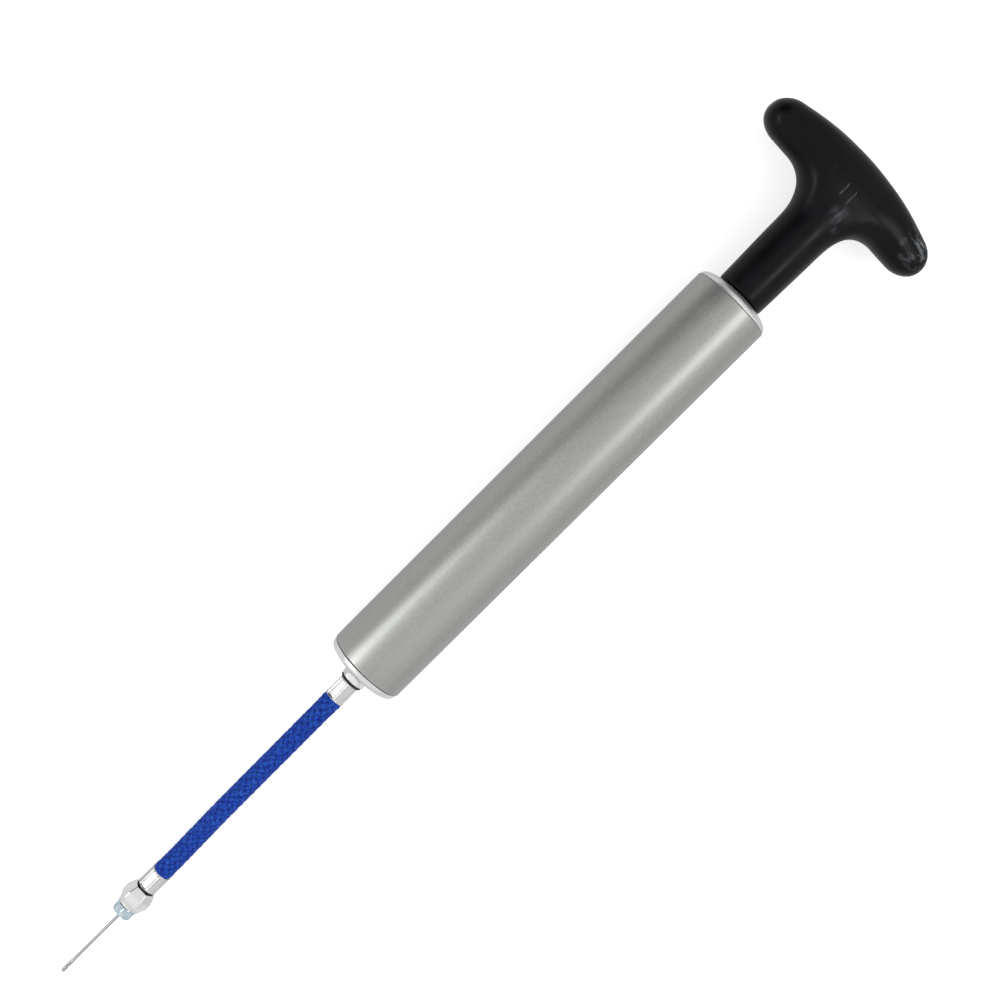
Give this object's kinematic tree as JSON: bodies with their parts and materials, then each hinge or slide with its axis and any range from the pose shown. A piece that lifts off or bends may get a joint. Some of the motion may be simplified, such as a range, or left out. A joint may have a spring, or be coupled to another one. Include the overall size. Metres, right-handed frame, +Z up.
{
  "type": "ball inflation pump",
  "caption": "Hand pump for inflating balls: metal barrel with light caps, black T-handle plunger, braided hose with crimped ends, and a thin inflation needle held by a hex nut.",
  "frame": {"origin": "on the surface under the pump, below the barrel's axis, at the middle of the pump's length without its hose and needle", "axes": "+X along the barrel towards the T-handle, +Z up, the handle's arms along Y"},
  "size_m": [0.3797, 0.0722, 0.028],
  "materials": {
    "barrel_metal": "satin silver-grey",
    "cap_metal": "light satin",
    "chrome": "bright",
    "zinc": "bluish zinc plate",
    "steel": "bright drawn",
    "brass": "turned",
    "black_plastic": "satin moulded",
    "black_rubber": "matte",
    "white_nylon": "natural",
    "blue_braid": "woven"
  },
  "bodies": {
    "pump": {"barrel_tube": "barrel_metal", "bottom_cap": "cap_metal", "top_collar": "cap_metal", "cap_o_ring": "black_rubber", "guide_bush": "black_plastic", "outlet_nipple": "chrome", "nipple_o_ring": "black_rubber", "valve_seat": "black_rubber", "valve_spring": "steel", "hose_ferrule_upper": "chrome", "hose_stem_upper": "steel", "hose": "blue_braid", "hose_ferrule_lower": "chrome", "hose_stem_lower": "steel", "nut_gasket": "black_rubber", "needle_nut": "chrome"},
    "valve": {"valve_ball": "steel"},
    "cup": {"piston_cup": "black_rubber"},
    "plunger": {"plunger_rod": "steel", "handle": "black_plastic", "handle_insert": "brass", "stop_bumper": "black_rubber", "piston_back_plate": "steel", "piston_front_plate": "steel", "piston_lock_washer": "steel", "piston_nut": "steel"},
    "washer": {"needle_washer": "white_nylon"},
    "needle": {"needle_base": "zinc", "needle_tube": "steel"}
  },
  "joints": [
    {"name": "plunger_slide", "type": "slide", "parent": "pump", "child": "cup", "axis": [1, 0, 0], "range_m": [0, 0.124]},
    {"name": "plunger_turn", "type": "hinge", "parent": "cup", "child": "plunger", "pos_m": [0, 0, 0.014], "axis": [1, 0, 0], "continuous": true},
    {"name": "valve_lift", "type": "slide", "parent": "pump", "child": "valve", "axis": [-1, 0, 0], "range_m": [0, 0.001], "stiffness_N_per_m": 40, "deforming": ["valve_spring"]},
    {"name": "needle_unscrew", "type": "slide", "parent": "pump", "child": "washer", "axis": [-1, 0, 0], "range_m": [0, 0.0056]},
    {"name": "needle_turn", "type": "hinge", "parent": "washer", "child": "needle", "pos_m": [-0.23, -0.003, 0.00535], "axis": [-1, 0, 0], "range_deg": [0, 2520]}
  ],
  "couplings": [
    {"joint": "needle_turn", "follows": "needle_unscrew", "rad_per_m": 7854}
  ]
}
